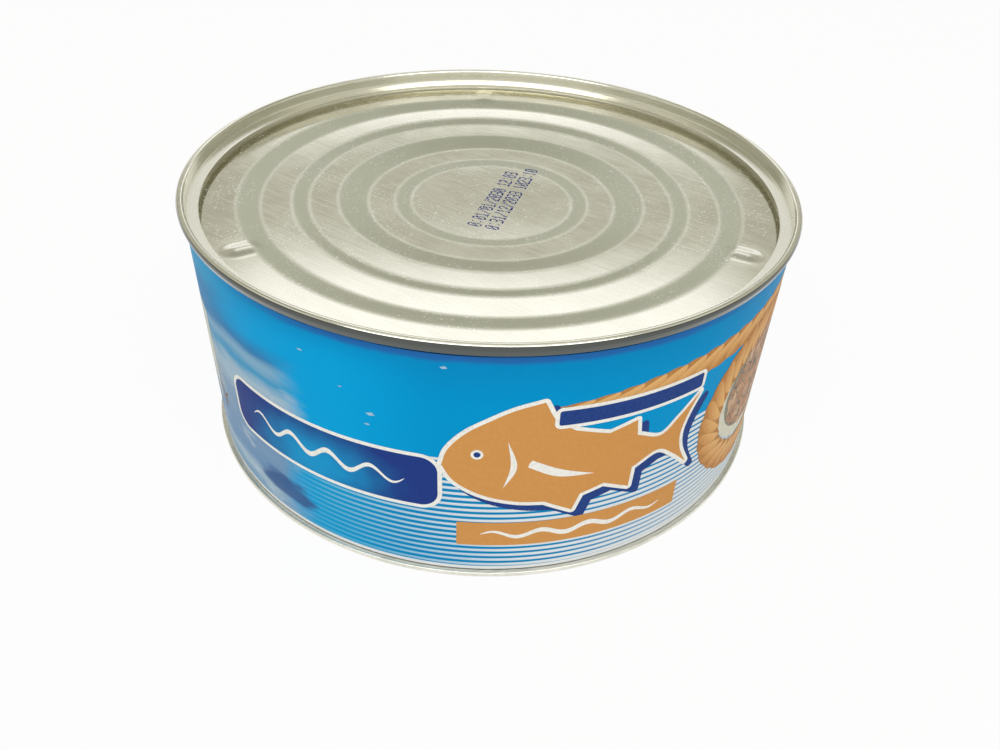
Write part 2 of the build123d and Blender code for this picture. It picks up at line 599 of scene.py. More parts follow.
@dataclass(frozen=True)
class RopeInk:
    """Picture of a hemp rope: each strand lit along its upper side, with fine fibres."""

    name: str
    lit: str = "#DDAD71"
    shaded: str = "#C48C52"

    def build(self) -> Material:
        """Make the material, which reads the mesh's own attribute for the side of the strand.

        Returns:
            The finished material.
        """
        s = Surface(self.name)
        tree = s.tree
        side = add_node(tree, "ShaderNodeAttribute", attribute_name=Strands.SIDE).outputs["Fac"]
        fibres = s.noise(1.1, 3, roughness=0.7)
        lift = plus(tree, side, calc(tree, "MULTIPLY_ADD", fibres, 0.7, -0.35))
        s.put("Base Color", blend(tree, smooth(tree, lift, -0.15, 1.0), srgb(self.shaded), srgb(self.lit)))
        return s.printed(0.42)


@dataclass(frozen=True)
class FlakesInk:
    """Picture of flaked fish: short pink-brown slivers with grey-green gaps between them."""

    name: str
    flake_size: float = 2.2
    flesh: tuple = ("#B98561", "#CDAE93")
    flesh_dark: str = "#A58068"
    gap: str = "#6E6C60"

    def build(self) -> Material:
        """Make the material.

        Returns:
            The finished material.
        """
        s = Surface(self.name)
        tree = s.tree
        turned = add_node(tree, "ShaderNodeMapping", {"Vector": s.place, "Rotation": (0.5, 0.3, 0.6)})
        long = add_node(tree, "ShaderNodeMapping", {"Vector": turned.outputs[0], "Scale": (1.0, 1.0, 0.45)})
        cells = {"Vector": long.outputs[0], "Scale": 1 / (self.flake_size * MM), "Randomness": 1.0}
        edges = add_node(tree, "ShaderNodeTexVoronoi", cells, feature="DISTANCE_TO_EDGE").outputs["Distance"]
        shade = add_node(tree, "ShaderNodeTexVoronoi", cells, feature="F1").outputs["Color"]
        red = add_node(tree, "ShaderNodeSeparateColor", {0: shade}).outputs[0]
        flesh = blend(tree, red, srgb(self.flesh[0]), srgb(self.flesh[1]))
        flesh = blend(tree, smooth(tree, s.noise(5, 3), 0.45, 0.7), flesh, srgb(self.flesh_dark))
        edges = plus(tree, edges, calc(tree, "MULTIPLY_ADD", s.noise(3, 2), 0.3, -0.15))
        s.put("Base Color", blend(tree, smooth(tree, edges, 0.09, 0.0), flesh, srgb(self.gap)))
        return s.printed(0.42)


# ---------------------------------------------------------------- mesh helpers


def finish_mesh(name: str, bm: Mesh, material: Material,
                replaced: Iterable[str] = (), smooth_angle: float | None = 40.0) -> bpy.types.Object:
    """Turn a bmesh into a piece of the can: an object at the origin that rides on the body.

    Args:
        name: the piece's name.
        bm: the mesh, already in metres and in place; it is freed.
        material: its only material.
        replaced: CAD nodes that it stands for.
        smooth_angle: edges flatter than this are shaded smooth, in degrees; None leaves all flat.

    Returns:
        The new object.
    """
    mesh = bpy.data.meshes.new(name)
    for face in bm.faces:
        face.smooth = smooth_angle is not None
    if smooth_angle is not None:
        for edge in bm.edges:
            edge.smooth = len(edge.link_faces) != 2 or edge.calc_face_angle(0) < math.radians(smooth_angle)
    bm.to_mesh(mesh)
    bm.free()
    mesh.materials.append(material)
    piece = bpy.data.objects.new(name, mesh)
    bpy.context.collection.objects.link(piece)
    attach(piece, BODY)
    for node in replaced:
        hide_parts(node)
    LOG.info("%s: %d faces", name, len(mesh.polygons))
    return piece


def rounded(corners: list[tuple[float, float, float]], step: float = 8.0) -> Outline:
    """Round an open outline's corners with arcs.

    Args:
        corners: radius, height and fillet of each corner, in order.
        step: turn of the arc from one point to the next, in degrees.

    Returns:
        The points of the rounded outline.
    """
    points = [Vector((c[0], c[1])) for c in corners]
    out: Outline = [tuple(points[0])]
    for before, here, after, corner in zip(points, points[1:], points[2:], corners[1:]):
        fillet = corner[2]
        back, on = (before - here).normalized(), (after - here).normalized()
        turn = math.pi - back.angle(on)
        if fillet <= 0 or turn < 1e-4:
            out.append(tuple(here))
            continue
        reach = fillet * math.tan(turn / 2)
        centre = here + (back + on).normalized() * (fillet / math.cos(turn / 2))
        start, end = here + back * reach - centre, here + on * reach - centre
        count = max(3, math.ceil(math.degrees(turn) / step))
        sweep = start.angle_signed(end)
        for i in range(count + 1):
            spoke = start.copy()
            spoke.rotate(Matrix.Rotation(-sweep * i / count, 2))
            out.append(tuple(centre + spoke))
    out.append(tuple(points[-1]))
    return out


def spun(outline: Outline, closed: bool = True) -> Mesh:
    """Spin an outline of (radius, height) points a full turn about the can's axis.

    Args:
        outline: the points in millimetres.
        closed: whether the last point joins the first.

    Returns:
        The mesh, in metres, with its faces pointing outwards.
    """
    bm = bmesh.new()
    verts = [bm.verts.new((r * MM, 0, z * MM)) for r, z in outline]
    for a, b in zip(verts, verts[1:]):
        bm.edges.new((a, b))
    if closed:
        bm.edges.new((verts[-1], verts[0]))
    bmesh.ops.spin(bm, geom=bm.verts[:] + bm.edges[:], cent=(0, 0, 0), axis=(0, 0, 1), angle=math.tau,
                   steps=ROUND_STEPS, use_merge=True)
    bmesh.ops.remove_doubles(bm, verts=bm.verts[:], dist=1e-6)
    bmesh.ops.dissolve_degenerate(bm, dist=1e-7, edges=bm.edges[:])
    bmesh.ops.recalc_face_normals(bm, faces=bm.faces[:])
    return bm


# ---------------------------------------------------------------- tinplate


@dataclass
class CanSizes:
    """The can's main sizes in millimetres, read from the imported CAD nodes."""

    rim_radius: float = 0.0
    height: float = 0.0
    wall_radius: float = 0.0
    label_radius: float = 0.0
    label_low: float = 0.0
    label_high: float = 0.0

    @classmethod
    def from_frame(cls) -> "CanSizes":
        """Measure the nodes' boxes.

        Returns:
            The sizes.
        """
        lid_low, lid_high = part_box("lid")
        wall_low, wall_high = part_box("can_body")
        label_low, label_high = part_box("label")
        return cls(
            rim_radius=(lid_high[1] - lid_low[1]) / 2 / MM,
            height=lid_high[2] / MM,
            wall_radius=(wall_high[1] - wall_low[1]) / 2 / MM,
            label_radius=-label_low[1] / MM,
            label_low=label_low[2] / MM,
            label_high=label_high[2] / MM,
        )


@dataclass
class TinEnd:
    """One end of the can: a rim, a recess wall, a groove and a panel that steps down in rings."""

    can: CanSizes
    is_lid: bool
    rim_height: float = 3.2
    rim_width: float = 1.75
    rim_taper: float = 0.7
    rim_straight: float = 1.3
    lip_fillet: float = 0.8
    belly_fillet: float = 0.5
    crown_fillet: float = 0.8
    sheet: float = 0.25
    recess_lean: float = 0.75
    recess_bulge: float = 0.14  # the recess wall leans little down to here, and more below
    bulge_depth: float = 2.9
    recess_foot: float = 0.12
    groove_depth: float = 5.68
    groove_width: float = 1.2
    groove_fillet: float = 0.55
    panel_rise: float = 0.28
    panel_rise_width: float = 0.9
    panel_edge_fillet: float = 1.1
    ring_widths: tuple = (9.3, 9.2, 8.8, 8.4)
    ring_falls: tuple = (0.05, 0.05, 0.1, 0.22)
    slope_widths: tuple = (4.4, 2.8, 6.2, 2.8)
    slope_falls: tuple = (0.9, 0.65, 1.3, 0.28)
    slope_top_fillet: float = 6.0
    slope_foot_fillet: float = 4.0

    def recess_radius(self, depth: float) -> float:
        """Radius of the recess wall at a depth under the rim."""
        return self.can.rim_radius - self.rim_width - self.recess_lean * depth / self.groove_depth

    def panel(self) -> list[tuple[float, float, float]]:
        """Lay out the sheet from the top of the recess wall to the axis.

        Returns:
            The corners, each as radius, depth and fillet.
        """
        outer = self.recess_radius(self.groove_depth)
        radius, depth = outer - self.groove_width, self.groove_depth
        corners = [
            (self.recess_radius(0), 0.0, self.crown_fillet),
            (self.recess_radius(0) - self.recess_bulge, self.bulge_depth, 2.0),
            (outer - self.recess_foot, depth, self.groove_fillet + 0.2),
            (radius, depth, self.groove_fillet - 0.2),
        ]
        radius -= self.panel_rise_width
        depth -= self.panel_rise
        corners.append((radius, depth, self.panel_edge_fillet))
        rings = zip(self.ring_widths, self.ring_falls)
        slopes = zip(self.slope_widths, self.slope_falls)
        for ring, slope in zip(rings, slopes):
            for (width, fall), fillet in ((ring, self.slope_top_fillet), (slope, self.slope_foot_fillet)):
                radius -= width
                depth += fall
                corners.append((radius, depth, fillet))
        return corners + [(0.0, depth, 0.0)]

    def slopes(self) -> tuple:
        """Inner and outer radius of each slope between two rings."""
        steps = self.panel()[5:-1]
        return tuple((foot[0], top[0]) for top, foot in zip(steps[::2], steps[1::2]))

    def outline(self) -> Outline:
        """Draw the sheet's closed outline.

        Returns:
            The points, with heights in place of depths.
        """
        rim = [
            (self.can.wall_radius, self.rim_height, 0.0),
            (self.can.rim_radius - self.rim_taper, self.rim_height, self.lip_fillet),
            (self.can.rim_radius, self.rim_straight, self.belly_fillet),
            (self.can.rim_radius, 0.0, self.crown_fillet),
        ]
        visible = rounded(rim + self.panel())
        hidden = [(r + self.sheet, d + self.sheet, f) for r, d, f in self.panel()[1:-1]]
        start = (self.recess_radius(self.rim_height) + self.sheet, self.rim_height, 0.0)
        under = rounded([start] + hidden + [(0.0, hidden[-1][1], 0.0)])
        both = visible + under[::-1]
        if self.is_lid:
            return [(r, self.can.height - d) for r, d in both]
        return both

    def height_at(self, radius: float) -> float:
        """Height of the panel's upper face.

        Args:
            radius: a radius inside the groove, in millimetres.

        Returns:
            The height above the ground, in millimetres.
        """
        points = rounded(self.panel())[::-1]
        for (near, deep), (far, shallow) in zip(points, points[1:]):
            if near <= radius <= far:
                return self.can.height - deep - (shallow - deep) * (radius - near) / max(far - near, 1e-6)
        return self.can.height - points[0][1]

    def subdivided(self, points: Outline, longest: float = 1.3) -> Outline:
        """Split an outline's long straight runs, so that its faces stay even in size.

        Args:
            points: the closed outline.
            longest: longest side that is left whole.

        Returns:
            The outline with more points.
        """
        out: Outline = []
        for a, b in zip(points, points[1:] + points[:1]):
            count = max(1, math.ceil(math.dist(a, b) / longest))
            for i in range(count):
                out.append((a[0] + (b[0] - a[0]) * i / count, a[1] + (b[1] - a[1]) * i / count))
        return out

    def mesh(self) -> Mesh:
        """Spin the outline.

        Returns:
            The mesh, in metres.
        """
        points = self.subdivided(self.outline())
        low = min(i for i, p in enumerate(points) if p[0] < 1e-6)
        return spun(points[low + 1:] + points[:low + 1], closed=True)


@dataclass
class RibPress:
    """Presses short ribs up out of the lid's outermost ring, each pointing at the centre."""

    end: TinEnd
    count: int = 3
    start_angle: float = 93.0
    length: float = 11.0
    width: float = 8.2
    height: float = 0.48
    inset: float = 1.0

    @property
    def middle(self) -> float:
        """Radius of the ribs' middle."""
        return self.end.panel()[4][0] - self.inset - self.length / 2

    def raise_on(self, bm: Mesh) -> None:
        """Subdivide the ring where the ribs stand and lift the top of the sheet.

        Args:
            bm: the lid's mesh.
        """
        ring_depth = self.end.panel()[5][1]
        lowest = self.end.can.height - ring_depth - 0.2
        for k in range(self.count):
            angle = math.radians(self.start_angle + 360 / self.count * k)
            along = Vector((math.cos(angle), math.sin(angle)))
            self.lift(bm, along, lowest)

    def lift(self, bm: Mesh, along: Vector, lowest: float) -> None:
        """Lift one rib.

        Args:
            bm: the lid's mesh.
            along: unit vector from the axis to the rib.
            lowest: only faces above this height, in millimetres, belong to the ring's top.
        """
        reach = self.length / 2 + self.width
        middle = along * self.middle
        near = []
        for face in bm.faces:
            centre = face.calc_center_median() / MM
            flat = centre.xy - middle
            if flat.length < reach and centre.z > lowest and face.normal.z > 0.5:
                near.append(face)
        edges = list({edge for face in near for edge in face.edges})
        bmesh.ops.subdivide_edges(bm, edges=edges, cuts=3, use_grid_fill=True)
        bm.normal_update()
        half = (self.length - self.width) / 2
        for vert in bm.verts:
            if vert.co.z / MM < lowest:
                continue
            flat = vert.co.xy / MM - middle
            ahead = max(abs(flat.dot(along)) - half, 0.0)
            side = abs(flat.cross(along))
            share = 1 - math.hypot(ahead, side) / (self.width / 2)
            if share > 0 and vert.normal.z > 0.3:
                vert.co.z += self.height * MM * share * share * (3 - 2 * share)


@dataclass
class Tinwork:
    """The bare metal of the can: lid, base and the wall behind the label."""

    can: CanSizes
    wall_finish: Tinplate = Tinplate("tinplate_wall", "#CFCDBF", "#A9A796", 0.30, 0.1, grain_turn=90.0)
    core_depth: float = 11.0
    core_inset: float = 1.5
    wall_overlap: float = 0.1
    wall_sheet: float = 0.2

    def build(self) -> None:
        """Make the three pieces."""
        lid = TinEnd(self.can, is_lid=True)
        ribs = RibPress(lid)
        panel_edge = lid.recess_radius(lid.groove_depth) - lid.groove_width - lid.panel_rise_width
        lid_finish = Tinplate(
            "tinplate_lid", "#EFEDE0", "#E4E2D4", 0.13, 0.6, drawn=lid.slopes(),
            gutter=((panel_edge, lid.recess_radius(0) - 0.1),), rib_radius=ribs.middle,
            rib_angle=ribs.start_angle, seam_radius=self.can.rim_radius, seam_height=self.can.height,
        )
        base_finish = Tinplate("tinplate_base", "#F0EEE4", "#DAD9CC", 0.30, 0.3, grain_turn=-20.0,
                               drawn=lid.slopes())
        lid_mesh = lid.mesh()
        ribs.raise_on(lid_mesh)
        finish_mesh("lid_tinplate", lid_mesh, lid_finish.build(), ["lid"], 50)
        base = TinEnd(self.can, is_lid=False, rim_height=1.5, rim_width=2.2, rim_taper=0.2, rim_straight=0.95,
                      lip_fillet=0.3)
        finish_mesh("base_tinplate", base.mesh(), base_finish.build(), ["base"], 50)
        self.wall(lid.rim_height, base.rim_height)

    def wall(self, lid_rim: float, base_rim: float) -> None:
        """Make the tinplate wall, closed by flat ends that lie hidden behind the lid and the base.

        Args:
            lid_rim: how far the lid's rim reaches down over the wall.
            base_rim: how far the base's rim reaches up over it.
        """
        low, high = base_rim - self.wall_overlap, self.can.height - lid_rim + self.wall_overlap
        outer = self.can.wall_radius
        inner = outer - self.wall_sheet
        core = inner - self.core_inset
        core_top = self.can.height - self.core_depth
        outline = [
            (0.0, self.core_depth), (core, self.core_depth), (inner, low), (outer, low), (outer, high),
            (inner, high), (core, core_top), (0.0, core_top),
        ]
        finish_mesh("wall_tinplate", spun(outline), self.wall_finish.build(), ["can_body"], 30)


# ---------------------------------------------------------------- label


@dataclass
class PaperLabel:
    """The paper sleeve: nearly a cylinder, with slack ripples, a lifted top edge and a glued lap."""

    can: CanSizes
    thickness: float = 0.12
    lap_arc: float = 133.0
    lap_width: float = 8.0
    lap_lift: float = 0.14
    ripple: float = 0.07
    flare: float = 0.30
    flare_reach: float = 2.2
    inset: float = 0.05
    row_count: int = 12

    @property
    def round_length(self) -> float:
        """Length of the label once round the can."""
        return math.tau * self.can.label_radius

    def radius_at(self, arc: float, height: float) -> float:
        """Radius of the paper's outer face at a place, in millimetres.

        Args:
            arc: arc length from the front line.
            height: height above the ground.

        Returns:
            The radius.
        """
        angle = arc / self.can.label_radius
        spot = Vector((math.sin(angle) * 3.1, math.cos(angle) * 3.1, height / 40))
        swell = self.ripple * (noise.noise(spot) - 0.6)
        top = math.exp(-(self.can.label_high - height) / self.flare_reach)
        lifted = 0.35 + 0.65 * max(0.0, noise.noise(spot * 1.4 + Vector((7, 1, 2))) + 0.3)
        lap = 0.0
        gone = (arc - self.lap_arc + self.round_length / 2) % self.round_length - self.round_length / 2
        if abs(gone) < self.lap_width / 2 + 1.0:
            rise = min(1.0, (gone + self.lap_width / 2 + 1.0) / 2.0)
            lap = self.lap_lift * rise if gone < self.lap_width / 2 else 0.0
        return self.can.label_radius - self.inset + swell + self.flare * top * lifted + lap

    def place(self, arc: float, height: float, lift: float = 0.0) -> Vector:
        """Wrap a flat place round the can.

        Args:
            arc: arc length from the front line, in millimetres.
            height: height above the ground, in millimetres.
            lift: distance off the paper, in millimetres.

        Returns:
            The place in metres.
        """
        radius = (self.radius_at(arc, height) + lift) * MM
        angle = arc / self.can.label_radius
        return Vector((radius * math.sin(angle), -radius * math.cos(angle), height * MM))

    def build(self, repeat: float) -> None:
        """Make the sleeve as a spun strip and press it to the paper's real shape.

        Args:
            repeat: arc after which the print starts again.
        """
        low, tall = self.can.label_low, self.can.label_high - self.can.label_low
        rows = [low + tall * i / self.row_count for i in range(self.row_count + 1)]
        # The paper flares only along its top edge, so there are more rows there
        rows[-1:] = [rows[-1] - 1.2, rows[-1] - 0.5, rows[-1]]
        bm = spun([(self.can.label_radius, z) for z in rows], closed=False)
        for vert in bm.verts:
            arc = math.atan2(vert.co.x, -vert.co.y) * self.can.label_radius
            vert.co = self.place(arc, vert.co.z / MM)
        outward = bm.faces[:][0]
        if outward.normal.dot(outward.calc_center_median()) < 0:
            bmesh.ops.reverse_faces(bm, faces=bm.faces[:])
        bmesh.ops.solidify(bm, geom=bm.faces[:], thickness=self.thickness * MM)
        bmesh.ops.recalc_face_normals(bm, faces=bm.faces[:])
        finish = LabelPaper("coated_label_paper", self.can.label_radius, repeat, self.can.label_high,
                            self.can.height)
        finish_mesh("label_paper", bm, finish.build(), ["label"], 40)


class Layer(Enum):
    """Order of the printed layers; the value is the lift off the paper in millimetres."""

    UNDER = 0.02
    SHADOW = 0.035
    OUTLINE = 0.05
    FILL = 0.065
    DETAIL = 0.08
    TOP = 0.095


@dataclass
class Stencil:
    """Cuts flat shapes in the plane (arc, height) and wraps them on the label as thin ink."""

    paper: PaperLabel
    strip: float = 2.0  # width of the strips, along the arc, that follow the can's round
    row: float = 5.0  # their height, so that they follow the ripples
    ink: float = 0.01

    def wrap(self, bm: Mesh, layer: Layer, centre: float) -> None:
        """Cut a flat mesh into narrow strips, wrap it and give it the ink's thickness.

        Args:
            bm: flat mesh with x as arc and y as height, in millimetres.
            layer: how far off the paper it lies.
            centre: arc that is added to every x, to place one print or the other.
        """
        for axis, step in enumerate((self.strip, self.row)):
            places = [v.co[axis] for v in bm.verts]
            low, high = min(places), max(places)
            across = Vector((1 - axis, axis, 0))
            for k in range(1, math.ceil((high - low) / step)):
                bmesh.ops.bisect_plane(bm, geom=bm.verts[:] + bm.edges[:] + bm.faces[:], dist=1e-5,
                                       plane_co=across * (low + k * step), plane_no=across)
        for vert in bm.verts:
            vert.co = self.paper.place(vert.co.x + centre, vert.co.y, layer.value)
        bm.normal_update()
        inward = [f for f in bm.faces if f.normal.xy.dot(f.calc_center_median().xy) < 0]
        bmesh.ops.reverse_faces(bm, faces=inward)
        bmesh.ops.solidify(bm, geom=bm.faces[:], thickness=self.ink * MM)

    def polygon(self, points: Outline) -> Mesh:
        """Fill a closed outline.

        Args:
            points: the outline, as arc and height.

        Returns:
            A flat mesh in millimetres.
        """
        bm = bmesh.new()
        verts = [bm.verts.new((x, y, 0)) for x, y in points]
        edges = [bm.edges.new((verts[i - 1], verts[i])) for i in range(len(verts))]
        bmesh.ops.triangle_fill(bm, edges=edges, use_beauty=True, normal=(0, 0, 1))
        return bm


def joined(parts: list[Mesh]) -> Mesh:
    """Join meshes into one.

    Args:
        parts: the meshes, which are freed.

    Returns:
        The whole mesh.
    """
    whole = bmesh.new()
    for part in parts:
        mesh = bpy.data.meshes.new("part")
        part.to_mesh(mesh)
        part.free()
        whole.from_mesh(mesh)
        bpy.data.meshes.remove(mesh)
    return whole


def rounded_box(left: float, low: float, right: float, high: float, corner: float) -> Outline:
    """Outline of a box with round corners.

    Args:
        left: arc of its left side.
        low: height of its foot.
        right: arc of its right side.
        high: height of its top.
        corner: radius of its corners.

    Returns:
        The points, counter-clockwise.
    """
    points = []
    for cx, cy, start in ((right - corner, high - corner, 0), (left + corner, high - corner, 90),
                          (left + corner, low + corner, 180), (right - corner, low + corner, 270)):
        for i in range(9):
            a = math.radians(start + 90 * i / 8)
            points.append((cx + corner * math.cos(a), cy + corner * math.sin(a)))
    return points


def oval(cx: float, cy: float, rx: float, ry: float, count: int = 96) -> Outline:
    """Outline of an ellipse."""
    turns = [math.tau * i / count for i in range(count)]
    return [(cx + rx * math.cos(turn), cy + ry * math.sin(turn)) for turn in turns]


def grown(points: Outline, amount: float) -> Outline:
    """Grow a closed outline outwards by an amount, with the corners cut short.

    Args:
        points: the outline, counter-clockwise.
        amount: how far each side moves outwards.

    Returns:
        The larger outline, with as many points.
    """
    out = []
    count = len(points)
    for i in range(count):
        a, b, c = (Vector(points[(i + k) % count]) for k in (-1, 0, 1))
        first, second = (b - a).normalized(), (c - b).normalized()
        side_a, side_b = Vector((first.y, -first.x)), Vector((second.y, -second.x))
        middle = side_a + side_b
        middle = middle.normalized() if middle.length > 1e-6 else side_a
        reach = amount / max(0.5, middle.dot(side_a))
        out.append(tuple(b + middle * reach))
    return out


def penned(points: Outline, pen: float) -> list[Outline]:
    """Draw round a closed outline with a round pen, as a bar for each side and a disc at each corner.

    Args:
        points: the outline.
        pen: the pen's radius.

    Returns:
        The outlines of the bars and the discs, which together widen the shape by the pen's radius.
    """
    marks = []
    for i, end in enumerate(points):
        start, end = Vector(points[i - 1]), Vector(end)
        on = (end - start).normalized() * pen
        side = Vector((-on.y, on.x))
        marks.append([tuple(start + side), tuple(start - side), tuple(end - side), tuple(end + side)])
        after = Vector(points[(i + 1) % len(points)]) - end
        if abs(on.angle_signed(after)) > math.radians(4):
            marks.append(oval(end.x, end.y, pen, pen, 16))
    return marks


def flowing(knots: Outline, sharp: Iterable[int] = (), per_span: int = 8) -> Outline:
    """Draw a closed smooth outline through knots, with corners at the sharp ones (Catmull-Rom spans).

    Args:
        knots: points that the outline passes through, counter-clockwise.
        sharp: indices of the knots that are corners.
        per_span: points drawn from one knot to the next.

    Returns:
        The outline's points.
    """
    corners = set(sharp)
    count = len(knots)
    out = []
    for i in range(count):
        p0, p1, p2, p3 = (Vector(knots[(i + k) % count]) for k in (-1, 0, 1, 2))
        leave = (p2 - p1) if i in corners else (p2 - p0) / 2
        arrive = (p2 - p1) if (i + 1) % count in corners else (p3 - p1) / 2
        for j in range(per_span):
            t = j / per_span
            a, b = 2 * t ** 3 - 3 * t ** 2 + 1, t ** 3 - 2 * t ** 2 + t
            c, d = -2 * t ** 3 + 3 * t ** 2, t ** 3 - t ** 2
            out.append(tuple(p1 * a + leave * b + p2 * c + arrive * d))
    return out


def moved(points: Outline, dx: float, dy: float) -> Outline:
    """Shift an outline."""
    return [(x + dx, y + dy) for x, y in points]


@dataclass
class Strands:
    """The picture of a laid rope along a path: a dark band with slanted light strands on it."""

    SIDE = "strand_side"

    path: Callable[[float], tuple[float, float]]
    length: float
    width: float = 6.6
    pitch: float = 3.9
    slant: float = 3.2
    gap: float = 0.5
    taper: float = 0.0  # distance over which the rope's start grows to its full width

    def fullness(self, along: float) -> float:
        """Share of the full width at a distance along the rope."""
        return min(1.0, 0.35 + 0.65 * max(along, 0.0) / self.taper) if self.taper else 1.0

    def point(self, along: float, across: float) -> tuple[float, float]:
        """A place on the rope.

        Args:
            along: distance along it.
            across: distance from its middle, to the left.

        Returns:
            Arc and height.
        """
        here, ahead = Vector(self.path(along)), Vector(self.path(along + 0.05))
        on = (ahead - here).normalized()
        return tuple(here + Vector((-on.y, on.x)) * across)

    def band(self) -> Outline:
        """Draw the dark band, with a lobe at every strand.

        Returns:
            The outline.
        """
        count = math.ceil(self.length / 0.6)
        edges = []
        for side in (-1, 1):
            stretch = []
            for i in range(count + 1):
                along = self.length * i / count
                lobe = abs(math.sin(math.pi * (along + side * self.slant / 2) / self.pitch))
                reach = side * (self.width / 2 - 0.35 + 0.45 * lobe) * self.fullness(along)
                stretch.append(self.point(along, reach))
            edges.append(stretch)
        return edges[0] + edges[1][::-1]

    def strand(self, k: int) -> tuple[Outline, list[float]]:
        """Draw one strand.

        Args:
            k: which strand, counted from the rope's start.

        Returns:
            The outline, and how lit each of its points is.
        """
        outline, lit = [], []
        steps = 8
        half_width = self.width / 2 - 0.2
        half_length = (self.pitch - self.gap) / 2
        for side in (-1, 1):
            for i in range(steps + 1):
                share = -1 + 2 * i / steps if side < 0 else 1 - 2 * i / steps
                bulge = half_length * (1 - abs(share) ** 3) + 0.15
                along = (k + 0.5) * self.pitch + share * self.slant / 2 + side * bulge
                outline.append(self.point(along, share * half_width * self.fullness(along)))
                lit.append(0.5 + 0.5 * share - 0.25 * side)
        return outline, lit


@dataclass
class RopeRing:
    """Route of the rope: it comes in from the left, passes over the dish and turns round it."""

    centre: tuple[float, float]
    reach: tuple[float, float]

    def ring(self, along: float) -> tuple[float, float]:
        """A place on the ring.

        Args:
            along: distance from its top, turning left.

        Returns:
            Arc and height.
        """
        turn = math.tau * along / self.ring_length
        (x, y), (wide, tall) = self.centre, self.reach
        return (x - wide * math.sin(turn), y + tall * math.cos(turn))

    @property
    def ring_length(self) -> float:
        """Distance once round the ring."""
        return math.tau * math.sqrt((self.reach[0] ** 2 + self.reach[1] ** 2) / 2)

    def lead(self, along: float) -> tuple[float, float]:
        """A place on the stretch that comes in from the left, by distance from its start."""
        return (15.5 + along, 50.0 + 0.04 * along + 0.0006 * along * along)


@dataclass
class Fish:
    """A plain deep-bodied fish facing left, in (arc, height) places on the label."""

    eye_place: tuple[float, float] = (-1.2, 38.6)

    def body(self) -> Outline:
        """Draw the body with two back fins, belly fins and a forked tail.

        Returns:
            The outline, counter-clockwise from the mouth.
        """
        knots = [
            (-8.8, 35.0), (-6.0, 30.4), (0.0, 26.6), (7.5, 24.5), (14.0, 23.9), (20.6, 20.2), (22.2, 24.9),
            (27.8, 26.7), (34.4, 23.4), (34.6, 29.2), (41.2, 31.9), (46.4, 28.4), (51.6, 23.2), (48.6, 28.8),
            (47.6, 33.9), (48.8, 39.0), (51.6, 44.4), (46.0, 39.6), (41.2, 36.2), (34.6, 38.9), (34.0, 43.4),
            (27.4, 41.6), (19.4, 44.2), (15.0, 47.6), (12.4, 52.6), (6.6, 50.8), (1.8, 48.2), (-3.6, 44.4),
            (-7.4, 39.6),
        ]
        return flowing(knots, sharp=(0, 4, 5, 6, 7, 8, 9, 12, 16, 19, 20, 21, 22, 24), per_span=6)

    def gill(self) -> Outline:
        """A thin curved sliver behind the head."""
        return flowing([(4.6, 28.6), (7.4, 35.0), (5.2, 42.4), (6.0, 35.2)], sharp=(0, 2))

    def fin(self) -> Outline:
        """The side fin."""
        knots = [(9.8, 34.8), (16.5, 31.4), (25.0, 30.6), (17.2, 33.4), (10.6, 36.8), (10.0, 35.8)]
        return flowing(knots, sharp=(0, 2, 4))

    def eye(self, size: float) -> Outline:
        """The eye, as a circle of a radius."""
        return oval(*self.eye_place, size, size, 32)


